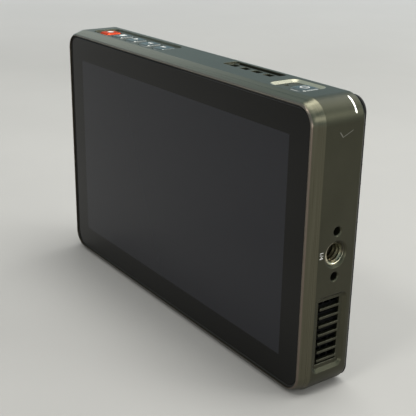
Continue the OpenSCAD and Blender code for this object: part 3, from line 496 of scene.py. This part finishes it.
# One finish for each slot name of the frame
finishes = {
    "shell_metal": makeShellMetal(),
    "dark_glass": makeDarkGlass(),
    "black_plastic": makeMoulded("blackPlastic", rgb(0.007, 0.007, 0.0068), rgb(0.012, 0.012, 0.0115),
                                 rough=(0.6, 0.75), gloss=0.16),
    "gasket_foam": makeMoulded("gasketFoam", rgb(0.008, 0.007, 0.006), rgb(0.016, 0.013, 0.011),
                               rough=(0.75, 0.9), grain=5000.0, bump=0.4),
    "panel_black": makeMoulded("panelBlack", rgb(0.012, 0.012, 0.014), rgb(0.016, 0.016, 0.018),
                               rough=(0.2, 0.3), grain=5000.0, bump=0.05),
    "bare_alloy": makeBrushed("bareAlloy", rgb(0.52, 0.53, 0.54), rgb(0.66, 0.67, 0.68)),
    "board_green": makeBoard(),
    "brass": makeBrushed("brassPlate", rgb(0.62, 0.43, 0.16), rgb(0.83, 0.62, 0.27)),
    "steel": makeBrushed("plainSteel", rgb(0.46, 0.46, 0.47), rgb(0.6, 0.6, 0.61)),
    "insert_steel": makeThreadSteel(),
    "black_screw": makeBrushed("blackScrew", rgb(0.03, 0.03, 0.03), rgb(0.055, 0.055, 0.055),
                               rough=(0.3, 0.42)),
    "chip_black": makeMoulded("chipBlack", rgb(0.014, 0.014, 0.015), rgb(0.022, 0.022, 0.023),
                              rough=(0.5, 0.65), grain=3600.0),
    "pad_grey": makeMoulded("padGrey", rgb(0.2, 0.23, 0.29), rgb(0.26, 0.3, 0.36),
                            rough=(0.7, 0.85), grain=1500.0),
    "copper": makeBrushed("copper", rgb(0.56, 0.27, 0.15), rgb(0.78, 0.42, 0.27)),
    "rotor_plastic": makeMoulded("rotorPlastic", rgb(0.02, 0.02, 0.021), rgb(0.03, 0.03, 0.031),
                                 rough=(0.35, 0.5)),
    "mesh_black": makeWoven(),
    "switch_tin": makeBrushed("switchTin", rgb(0.5, 0.5, 0.49), rgb(0.66, 0.66, 0.65)),
    "light_plastic": makeMoulded("lightPlastic", rgb(0.016, 0.016, 0.016), rgb(0.03, 0.03, 0.03),
                                 rough=(0.12, 0.2), grain=3000.0, bump=0.02, coat=0.6),
    "ribbon_film": makeRibbon(),
    "button_red": makeCapFinish("buttonRed", rgb(0.52, 0.05, 0.02), rgb(0.64, 0.075, 0.03),
                                metallic=0.8, tint=rgb(0.9, 0.34, 0.22)),
    "button_grey": makeCapFinish("buttonGrey", rgb(0.13, 0.132, 0.126), rgb(0.18, 0.18, 0.172),
                                 metallic=0.9, tint=rgb(0.55, 0.64, 0.68)),
    "socket_metal": makeBrushed("socketMetal", rgb(0.44, 0.44, 0.45), rgb(0.6, 0.6, 0.61)),
    "socket_black": makeMoulded("socketBlack", rgb(0.01, 0.01, 0.01), rgb(0.016, 0.016, 0.016),
                                rough=(0.3, 0.42)),
}
markFinish = makeMoulded("printWhite", rgb(0.62, 0.62, 0.6), rgb(0.72, 0.72, 0.7),
                         rough=(0.4, 0.55), grain=6000.0, bump=0.05)
blackenedFins = makeBrushed("blackenedFins", rgb(0.012, 0.012, 0.012), rgb(0.02, 0.02, 0.02),
                            rough=(0.4, 0.55))

slotOfNode = {}
for nodeName, node in nodes.items():
    slotOfNode[nodeName] = node.material_slots[0].material.name
    for materialSlot in node.material_slots:
        materialSlot.material = finishes[materialSlot.material.name]
nodes["heat_fins"].material_slots[0].material = blackenedFins
print("finishes on", len(nodes), "nodes")


# Pieces

# Distances within which points are merged, lie in a plane, or count as near
weld = 0.0005 * mm
hair = 0.0001 * mm
near = 0.01 * mm
flatAngle = math.radians(0.6)
normalWeight = 80


def finishPiece(mesh, name, body, slot=None, finish=None, smooth=True):
    # Turns a bmesh into an object at the origin that rides on its body
    data = bpy.data.meshes.new(name)
    mesh.to_mesh(data)
    mesh.free()
    piece = bpy.data.objects.new(name, data)
    bpy.context.scene.collection.objects.link(piece)
    data.materials.append(finish or finishes[slot])
    for face in data.polygons:
        face.use_smooth = smooth
    if smooth:
        weighted = piece.modifiers.new("evenNormals", "WEIGHTED_NORMAL")
        weighted.weight = normalWeight
    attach(piece, body)
    return piece


def pointsOf(items):
    return [item for item in items if isinstance(item, bmesh.types.BMVert)]


def edgesOf(points):
    return list(dict.fromkeys(edge for point in points for edge in point.link_edges))


def openEdges(mesh):
    return [edge for edge in mesh.edges if edge.is_boundary]


def growLoop(mesh, loop):
    # Extrudes a loop of edges, and returns the new points and the new loop
    grown = bmesh.ops.extrude_edge_only(mesh, edges=loop)["geom"]
    points = pointsOf(grown)
    return points, [item for item in grown
                    if isinstance(item, bmesh.types.BMEdge) and all(v in points for v in item.verts)]


def cutAway(mesh, place, side):
    # Removes what lies past a plane, on the side that it faces
    bmesh.ops.bisect_plane(mesh, geom=mesh.verts[:] + mesh.edges[:] + mesh.faces[:], dist=hair,
                           plane_co=place, plane_no=side, clear_outer=True)


def softenEdges(mesh, form, also=None):
    # Rounds the edges that are sharper than the form's angle, and those that also picks
    angle = math.radians(form["angle"])
    chosen = [edge for edge in mesh.edges if len(edge.link_faces) == 2
              and (edge.calc_face_angle(0.0) > angle or (also and also(edge)))]
    bmesh.ops.bevel(mesh, geom=chosen, offset=form["radius"], offset_type="OFFSET", segments=form["segments"],
                    profile=0.5, affect="EDGES", clamp_overlap=False, material=-1, loop_slide=True)


def copyNode(nodeName):
    # A CAD node's mesh with its double points merged and its flat faces joined
    mesh = bmesh.new()
    mesh.from_mesh(nodes[nodeName].data)
    bmesh.ops.remove_doubles(mesh, verts=mesh.verts, dist=weld)
    bmesh.ops.dissolve_limit(mesh, angle_limit=flatAngle, verts=mesh.verts, edges=mesh.edges)
    return mesh


def replaceNode(mesh, nodeName, pieceName):
    # Puts a finished copy in the place of its node, with the node's body and slot
    piece = finishPiece(mesh, pieceName, nodes[nodeName]["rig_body"], slotOfNode[nodeName])
    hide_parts(nodeName)
    return piece


# Edge radius, its segments, and the angle in degrees from which an edge counts as sharp
roundedNodes = {
    "front_housing": {"piece": "metalShell", "radius": 0.14 * mm, "segments": 2, "angle": 28},
    "rear_cover": {"piece": "ribbedCover", "radius": 0.12 * mm, "segments": 2, "angle": 35},
    "cover_glass": {"piece": "screenGlass", "radius": 0.2 * mm, "segments": 3, "angle": 35},
    "battery_housing": {"piece": "batteryCase", "radius": 0.15 * mm, "segments": 2, "angle": 35},
    "battery_shoe": {"piece": "batteryPlate", "radius": 0.12 * mm, "segments": 2, "angle": 35},
    "battery_latch": {"piece": "latchSlider", "radius": 0.1 * mm, "segments": 2, "angle": 35},
    "inlet_grille": {"piece": "airGrille", "radius": 0.1 * mm, "segments": 2, "angle": 35},
    "video_socket": {"piece": "videoShell", "radius": 0.08 * mm, "segments": 2, "angle": 35},
    "usb_socket": {"piece": "chargeShell", "radius": 0.06 * mm, "segments": 2, "angle": 35},
    "headphone_jack": {"piece": "phonesBlock", "radius": 0.12 * mm, "segments": 2, "angle": 35},
    "power_inlet": {"piece": "powerJack", "radius": 0.12 * mm, "segments": 2, "angle": 35},
}


def onBandCrease(edge):
    # The crease where the sloped band meets the walls
    creaseY = lipY + shellFinish["bandDepth"]
    return all(abs(v.co.y - creaseY) < near for v in edge.verts)


def roundNode(nodeName, form):
    mesh = copyNode(nodeName)
    softenEdges(mesh, form, onBandCrease if nodeName == "front_housing" else None)
    replaceNode(mesh, nodeName, form["piece"])


for nodeName, form in roundedNodes.items():
    roundNode(nodeName, form)
print("edges rounded on", len(roundedNodes), "nodes")


# Each crown ring is a share of the ring outside it, and rises by a share of the crown
capForm = {"round": 0.85 * mm, "steps": 6, "crown": 0.05 * mm,
           "crownRings": [(0.8, 0.5), (0.6, 0.3), (0.35, 0.2)],
           "pieces": {"record_button": "recordCap", "stop_button": "stopCap", "play_button": "playCap",
                      "back_button": "backCap", "forward_button": "forwardCap", "power_button": "powerCap"}}


def capRings(reach):
    # Scale and rise of each ring, first round the edge and then over the crown
    s = capForm
    rings = []
    lastIn, lastUp = 0.0, 0.0
    for step in range(1, s["steps"] + 1):
        turn = math.pi / 2 * step / s["steps"]
        inward, upward = s["round"] * (1 - math.cos(turn)), s["round"] * math.sin(turn)
        rings.append(((reach - inward) / (reach - lastIn), upward - lastUp))
        lastIn, lastUp = inward, upward
    return rings + [(ratio, s["crown"] * share) for ratio, share in s["crownRings"]]


def makeCap(nodeName, pieceName):
    # A button's cap, turned over a fuller edge than the solid has, with a slight crown
    low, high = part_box(nodeName)
    centre = (low + high) / 2
    mesh = copyNode(nodeName)
    cutAway(mesh, (0, 0, high.z - capForm["round"] - capForm["crown"]), (0, 0, 1))
    loop = openEdges(mesh)
    reach = max(abs(v.co.x - centre.x) for edge in loop for v in edge.verts)
    for ratio, rise in capRings(reach):
        points, loop = growLoop(mesh, loop)
        bmesh.ops.translate(mesh, vec=(0, 0, rise), verts=points)
        bmesh.ops.scale(mesh, vec=(ratio, ratio, 1), verts=points, space=Matrix.Translation(-centre))
    bmesh.ops.contextual_create(mesh, geom=loop)
    bmesh.ops.recalc_face_normals(mesh, faces=mesh.faces)
    replaceNode(mesh, nodeName, pieceName)


for nodeName, pieceName in capForm["pieces"].items():
    makeCap(nodeName, pieceName)
print("button caps turned")


# Radii, pitch and flats of the thread, the insert's wall and face, and how far in the crests carry painted
# highlights
threadForm = {"minor": 2.6 * mm, "major": 3.175 * mm, "pitch": 1.27 * mm, "crest": 0.2 * mm,
              "root": 0.16 * mm, "steps": 64, "spareTurns": 2, "outer": 4.1 * mm, "length": 8.9 * mm,
              "face": 3.25 * mm, "brightShare": 0.66, "least": 0.1, "endShine": 0.12}


def turnThread(mesh):
    # One turn's outline, wound past both ends of the insert and cut off at them
    s = threadForm
    flank = (s["pitch"] - s["crest"] - s["root"]) / 2
    outline = [(s["minor"], 0), (s["minor"], s["crest"]), (s["major"], s["crest"] + flank),
               (s["major"], s["crest"] + flank + s["root"]), (s["minor"], s["pitch"])]
    line = [mesh.verts.new((r, 0, z - s["pitch"])) for r, z in outline]
    edges = [mesh.edges.new(pair) for pair in zip(line, line[1:])]
    turns = math.ceil(s["length"] / s["pitch"]) + s["spareTurns"]
    bmesh.ops.spin(mesh, geom=line + edges, cent=(0, 0, 0), axis=(0, 0, 1), angle=math.tau * turns,
                   dvec=(0, 0, s["pitch"] / s["steps"]), steps=s["steps"] * turns)
    bmesh.ops.remove_doubles(mesh, verts=mesh.verts, dist=2 * weld)
    cutAway(mesh, (0, 0, 0), (0, 0, -1))
    cutAway(mesh, (0, 0, s["length"]), (0, 0, 1))
    return [[edge for edge in openEdges(mesh) if all(abs(v.co.z - height) < 10 * hair for v in edge.verts)]
            for height in (0, s["length"])]


def shadeThread(mesh):
    # How bright each point is painted: painted highlights most on the crests near the mouth, a little on the
    # end face, and painted shade in the roots and deeper in the bore
    s = threadForm
    crest = mesh.verts.layers.float.new("crest")
    for point in mesh.verts:
        away = math.hypot(point.co.x, point.co.y)
        if away > s["major"] + near:
            point[crest] = s["endShine"]
        else:
            height = 1 - (away - s["minor"]) / (s["major"] - s["minor"])
            depth = (s["length"] - point.co.z) / (s["brightShare"] * s["length"])
            point[crest] = max(0.0, height) * max(s["least"], 1 - depth)


def makeThreadInsert(pieceName, nodeName, placing):
    # A quarter inch thread cut into its steel insert, with a flat face round the mouth
    s = threadForm
    mesh = bmesh.new()
    footRim, mouthRim = turnThread(mesh)
    foot = bmesh.ops.create_circle(mesh, segments=s["steps"], radius=s["outer"])["verts"]
    footEdges = edgesOf(foot)
    headPoints, head = growLoop(mesh, footEdges)
    bmesh.ops.translate(mesh, vec=(0, 0, s["length"]), verts=headPoints)
    bmesh.ops.bridge_loops(mesh, edges=footRim + footEdges)
    facePoints, face = growLoop(mesh, head)
    bmesh.ops.scale(mesh, vec=(s["face"] / s["outer"], s["face"] / s["outer"], 1), verts=facePoints)
    bmesh.ops.bridge_loops(mesh, edges=mouthRim + face)
    bmesh.ops.remove_doubles(mesh, verts=mesh.verts, dist=weld)
    bmesh.ops.recalc_face_normals(mesh, faces=mesh.faces)
    shadeThread(mesh)
    bmesh.ops.transform(mesh, matrix=placing, verts=mesh.verts)
    replaceNode(mesh, nodeName, pieceName)


# One thread opens to the right, the other down
sideLow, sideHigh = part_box("side_thread_insert")
baseLow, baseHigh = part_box("base_thread_insert")
sideMiddle = (sideLow + sideHigh) / 2
baseMiddle = (baseLow + baseHigh) / 2
sidePlace = Matrix.Translation((sideLow.x, sideMiddle.y, sideMiddle.z))
basePlace = Matrix.Translation((baseMiddle.x, baseMiddle.y, baseHigh.z))
makeThreadInsert("sideThread", "side_thread_insert", sidePlace @ Matrix.Rotation(math.pi / 2, 4, "Y"))
makeThreadInsert("baseThread", "base_thread_insert", basePlace @ Matrix.Rotation(math.pi, 4, "X"))
print("threads cut")


# The latch's travel leaves a third of the spring's length
springForm = {"wire": 0.14 * mm, "turns": 5, "steps": 20, "sides": 10, "kept": 1 / 3}


def makeSpring():
    # Coil spring that pushes the latch out, squeezed by the latch against the housing
    s = springForm
    low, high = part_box("latch_spring")
    middle = (low + high) / 2
    meanRadius = (high.z - low.z) / 2 - s["wire"]
    start = low.x + s["wire"]
    pitch = (high.x - low.x - 2 * s["wire"]) / s["turns"]
    mesh = bmesh.new()
    place = Matrix.Translation((start, middle.y, middle.z + meanRadius))
    ring = bmesh.ops.create_circle(mesh, segments=s["sides"], radius=s["wire"],
                                   matrix=place @ Matrix.Rotation(math.pi / 2, 4, "X"))["verts"]
    bmesh.ops.spin(mesh, geom=ring + edgesOf(ring), cent=(start, middle.y, middle.z), axis=(1, 0, 0),
                   angle=math.tau * s["turns"], dvec=(pitch / s["steps"], 0, 0),
                   steps=s["steps"] * s["turns"])
    bmesh.ops.holes_fill(mesh, edges=openEdges(mesh))
    bmesh.ops.recalc_face_normals(mesh, faces=mesh.faces)
    piece = replaceNode(mesh, "latch_spring", "coilSpring")
    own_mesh(piece)


makeSpring()


# Places from the body's middle in mm, and the plate's face from the lip
shoeScrewForm = {"radius": 1.1 * mm, "head": 0.8 * mm, "below": 0.12 * mm, "segments": 24,
                 "hex": 0.62 * mm, "recess": 0.45 * mm, "plate": 22.3 * mm,
                 "places": [(-14, -12), (14, -12), (-14, 12), (14, 12)],
                 "edge": {"radius": 0.07 * mm, "segments": 2, "angle": 60}}


def makeShoeScrews():
    # Four hex socket screws that hold the battery plate to the case
    s = shoeScrewForm
    mesh = bmesh.new()
    for x, z in s["places"]:
        outer = bmesh.ops.create_circle(mesh, segments=s["segments"], radius=s["radius"])["verts"]
        socket = bmesh.ops.create_circle(mesh, segments=s["segments"], radius=s["hex"])["verts"]
        for v in socket:
            turn = math.atan2(v.co.y, v.co.x) % (math.pi / 3) - math.pi / 6
            v.co *= math.cos(math.pi / 6) / math.cos(turn)
        rim, mouth = edgesOf(outer), edgesOf(socket)
        bmesh.ops.bridge_loops(mesh, edges=rim + mouth)
        side = growLoop(mesh, rim)[0]
        bmesh.ops.translate(mesh, vec=(0, 0, -s["head"]), verts=side)
        pit = growLoop(mesh, mouth)[0]
        bmesh.ops.translate(mesh, vec=(0, 0, -s["recess"]), verts=pit)
        bmesh.ops.holes_fill(mesh, edges=openEdges(mesh), sides=0)
        # The screw faces the back of the monitor
        place = Matrix.Translation((x * mm, lipY + s["plate"] - s["below"], middleZ + z * mm))
        bmesh.ops.transform(mesh, matrix=place @ Matrix.Rotation(-math.pi / 2, 4, "X"),
                            verts=outer + socket + side + pit)
    bmesh.ops.recalc_face_normals(mesh, faces=mesh.faces)
    softenEdges(mesh, s["edge"])
    finishPiece(mesh, "shoeScrews", "monitor", "black_screw")


makeShoeScrews()
print("spring and plate screws made")


# Half size of the plain signs, sizes and places of arrows in half sizes, and the power sign
signForm = {"thick": 0.03 * mm, "half": 1.05 * mm, "dotPoints": 32, "playFoot": 0.8,
            "arrow": 0.8, "arrowReach": 1.2, "arrowPlaces": (1.25, 0.15),
            "powerRadius": 1.15 * mm, "powerWidth": 0.32 * mm, "powerGap": 35, "powerSteps": 30,
            "stroke": (0.2, 1.15)}


def printSign(pieceName, nodeName, faces):
    # A sign of flat faces, given from the middle of a button's cap and printed on its top
    low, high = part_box(nodeName)
    centre = (low + high) / 2
    mesh = bmesh.new()
    for face in faces:
        mesh.faces.new([mesh.verts.new((centre.x + x, centre.y + y, high.z)) for x, y in face])
    bmesh.ops.remove_doubles(mesh, verts=mesh.verts, dist=weld)
    bmesh.ops.recalc_face_normals(mesh, faces=mesh.faces)
    solid = bmesh.ops.extrude_face_region(mesh, geom=mesh.faces[:])["geom"]
    bmesh.ops.translate(mesh, vec=(0, 0, signForm["thick"]), verts=pointsOf(solid))
    bmesh.ops.recalc_face_normals(mesh, faces=mesh.faces)
    finishPiece(mesh, pieceName, nodes[nodeName]["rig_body"], finish=markFinish, smooth=False)


def turned(radius, angle):
    return (radius * math.cos(angle), radius * math.sin(angle))


def doubleArrow(way):
    # Two triangles, one behind the other, that point left or right
    s = signForm
    size = s["arrow"] * s["half"]
    starts = [-way * place * s["half"] for place in s["arrowPlaces"]]
    return [[(x, -size), (x + way * size * s["arrowReach"], 0), (x, size)] for x in starts]


def powerFaces():
    # The open ring and the stroke of the power sign
    s = signForm
    gap = math.radians(s["powerGap"])
    side = s["powerWidth"] / 2
    inner, outer = s["powerRadius"] - side, s["powerRadius"] + side
    start, step = math.pi / 2 + gap, (math.tau - 2 * gap) / s["powerSteps"]
    angles = [start + step * k for k in range(s["powerSteps"] + 1)]
    ring = [[turned(inner, first), turned(outer, first), turned(outer, second), turned(inner, second)]
            for first, second in zip(angles, angles[1:])]
    foot, head = [share * s["powerRadius"] for share in s["stroke"]]
    return ring + [[(-side, foot), (side, foot), (side, head), (-side, head)]]


def printSigns():
    s = signForm
    half = s["half"]
    foot = s["playFoot"] * half
    dot = [turned(half, math.tau * k / s["dotPoints"]) for k in range(s["dotPoints"])]
    printSign("recordDot", "record_button", [dot])
    printSign("stopSquare", "stop_button", [[(-half, -half), (half, -half), (half, half), (-half, half)]])
    printSign("playArrow", "play_button", [[(-foot, -half), (half, 0), (-foot, half)]])
    printSign("backArrows", "back_button", doubleArrow(-1))
    printSign("forwardArrows", "forward_button", doubleArrow(1))
    printSign("powerSign", "power_button", powerFaces())


printSigns()
print("button signs printed")


# The digits' height, the letter size that gives it, and how far the print stands out of the wall
sizeMark = {"text": "1/4", "height": 1.25 * mm, "letterShare": 1.4, "fromLip": 4.75 * mm, "up": 0.75 * mm,
            "thick": 0.02 * mm, "proud": 0.012 * mm}


def addSizeMark():
    # Plain number beside the thread, read from the top down
    s = sizeMark
    curve = bpy.data.curves.new("threadNumber", "FONT")
    curve.body = s["text"]
    curve.size = s["height"] * s["letterShare"]
    curve.align_x = "CENTER"
    curve.align_y = "CENTER"
    curve.extrude = s["thick"] / 2
    holder = bpy.data.objects.new("threadNumberText", curve)
    bpy.context.scene.collection.objects.link(holder)
    data = bpy.data.meshes.new_from_object(holder.evaluated_get(bpy.context.evaluated_depsgraph_get()))
    bpy.data.objects.remove(holder)
    mesh = bmesh.new()
    mesh.from_mesh(data)
    bmesh.ops.remove_doubles(mesh, verts=mesh.verts, dist=2 * weld)
    # The text's x runs down the wall and its y towards the back
    turn = Matrix(((0, 0, 1, 0), (0, 1, 0, 0), (-1, 0, 0, 0), (0, 0, 0, 1)))
    printX = wallX + s["proud"] - s["thick"] / 2
    place = Matrix.Translation((printX, lipY + s["fromLip"], sideMiddle.z + s["up"]))
    bmesh.ops.transform(mesh, matrix=place @ turn, verts=mesh.verts)
    bmesh.ops.recalc_face_normals(mesh, faces=mesh.faces)
    finishPiece(mesh, "threadNumber", "monitor", finish=markFinish, smooth=False)


addSizeMark()


# Floor, light and camera

floorForm = {
    "dark": rgb(0.42, 0.42, 0.41), "light": rgb(0.45, 0.45, 0.439), "size": 3.0, "drop": 0.02 * mm,
    "grain": 900.0, "clouds": 6.0, "rough": 0.7, "gloss": 0.1,
    "glow": rgb(0.55, 0.56, 0.56), "glowFrom": 0.4, "glowFull": 1.5,
}


def makeFloor():
    s = floorForm
    material, tree, shader, place = newFinish("paleFloor")
    slow = grainOf(tree, place, s["grain"], s["clouds"])["Slow"]
    # The far floor is as pale as the backdrop, past the reach of the lamps
    far = spread(tree, vectorOf(tree, "LENGTH", place), 0.0, 1.0, s["glowFrom"], s["glowFull"])
    feed(tree, shader, {"Base Color": mixColor(tree, spread(tree, slow, 0.0, 1.0), s["dark"], s["light"]),
                        "Roughness": s["rough"], "Specular IOR Level": s["gloss"], "Emission Strength": 1.0,
                        "Emission Color": mixColor(tree, far, rgb(0.0, 0.0, 0.0), s["glow"])})
    mesh = bmesh.new()
    bmesh.ops.create_grid(mesh, x_segments=1, y_segments=1, size=s["size"],
                          matrix=Matrix.Translation((0, 0, -s["drop"])))
    data = bpy.data.meshes.new("floor")
    mesh.to_mesh(data)
    mesh.free()
    floor = bpy.data.objects.new("floor", data)
    bpy.context.scene.collection.objects.link(floor)
    data.materials.append(material)


makeFloor()

# Soft boxes: metres from the middle of the floor, size across and up, and watts
lamps = {
    "overhead": {"place": (0.2, 0.14, 0.99), "aim": (0, 0, 0.04), "size": (0.45, 0.8), "power": 4.6,
                 "color": (1.0, 0.99, 0.95)},
    "backBox": {"place": (0.06, 0.78, 0.76), "aim": (0, 0, 0.06), "size": (0.9, 0.35), "power": 3.6,
                "color": (1.0, 0.99, 0.95)},
    "backRight": {"place": (0.78, 0.66, 0.44), "aim": (0.03, 0, 0.06), "size": (0.35, 0.35), "power": 2.4,
                  "color": (1.0, 0.99, 0.94)},
    "rightBox": {"place": (0.92, 0.08, 0.46), "aim": (0.03, 0, 0.06), "size": (0.35, 0.3), "power": 1.3,
                 "color": (1.0, 0.98, 0.93)},
    "cornerBox": {"place": (-0.16, 0.2, 0.96), "aim": (0.06, 0, 0.07), "size": (0.4, 0.26), "power": 2.6,
                  "color": (1.0, 0.99, 0.95)},
    "backLeft": {"place": (-0.92, 0.3, 0.46), "aim": (0, 0, 0.06), "size": (0.35, 0.3), "power": 0.28,
                 "color": (1.0, 0.95, 0.86)},
    "frontTop": {"place": (0.14, -0.56, 0.9), "aim": (0, 0, 0.06), "size": (0.18, 0.18), "power": 2.2,
                 "color": (1.0, 0.98, 0.93)},
    "leftBox": {"place": (-0.74, -0.66, 0.46), "aim": (0, 0, 0.04), "size": (0.35, 0.35), "power": 1.2,
                "color": (1.0, 0.98, 0.94)},
    "lowRight": {"place": (0.86, -0.62, 0.09), "aim": (0.06, 0, 0.04), "size": (0.3, 0.12), "power": 2.0,
                 "color": (1.0, 0.98, 0.94)},
}


def addLamp(name, form):
    light = bpy.data.lights.new(name, "AREA")
    light.shape = "RECTANGLE"
    light.size, light.size_y = form["size"]
    light.energy = form["power"]
    light.color = form["color"]
    holder = bpy.data.objects.new(name, light)
    bpy.context.scene.collection.objects.link(holder)
    place = Vector(form["place"])
    turn = (Vector(form["aim"]) - place).to_track_quat("-Z", "Y").to_matrix().to_4x4()
    holder.matrix_world = Matrix.Translation(place) @ turn


for lampName, lampForm in lamps.items():
    addLamp(lampName, lampForm)


# Soft even room light, a pale backdrop for the camera, and a cooler sky that metal and glass reflect
worldForm = {"ambient": rgb(0.3, 0.3, 0.3), "seen": rgb(0.72, 0.73, 0.73), "reflected": rgb(0.45, 0.61, 0.65)}


def makeWorld():
    s = worldForm
    world = bpy.data.worlds.new("paleRoom")
    bpy.context.scene.world = world
    world.use_nodes = True
    tree = world.node_tree
    tree.nodes.clear()
    ray = addNode(tree, "ShaderNodeLightPath")
    mirrored = mathOf(tree, "MAXIMUM", ray["Is Glossy Ray"], ray["Is Transmission Ray"])
    sky = mixColor(tree, mirrored, s["ambient"], s["reflected"])
    shown = mixColor(tree, ray["Is Camera Ray"], sky, s["seen"])
    room = addNode(tree, "ShaderNodeBackground", {"Color": shown, "Strength": 1.0})["Background"]
    addNode(tree, "ShaderNodeOutputWorld", {"Surface": room})


makeWorld()
bpy.context.scene.view_settings.view_transform = "Standard"

# The photograph's camera, solved from the straight edges of the screen
# Its place is from the middle of the lip's front plane
cameraForm = {"place": (0.211297, -0.134975, 0.088694), "focal": 857.607, "imageWidth": 416.0, "sensor": 36.0,
              "near": 0.005, "right": (0.5756525, 0.81756085, 0.01477995),
              "up": (-0.29617319, 0.19162245, 0.93571485), "back": (0.76217166, -0.54302402, 0.35244755)}


def addCamera():
    s = cameraForm
    camera = bpy.data.cameras.new("photoCamera")
    camera.sensor_width = s["sensor"]
    camera.lens = s["focal"] / s["imageWidth"] * s["sensor"]
    camera.clip_start = s["near"]
    camera.dof.use_dof = False
    holder = bpy.data.objects.new("photoCamera", camera)
    bpy.context.scene.collection.objects.link(holder)
    turn = Matrix((s["right"], s["up"], s["back"])).transposed().to_4x4()
    holder.matrix_world = Matrix.Translation(Vector((0, lipY, middleZ)) + Vector(s["place"])) @ turn
    bpy.context.scene.camera = holder


addCamera()
print("stage, lamps and camera ready")
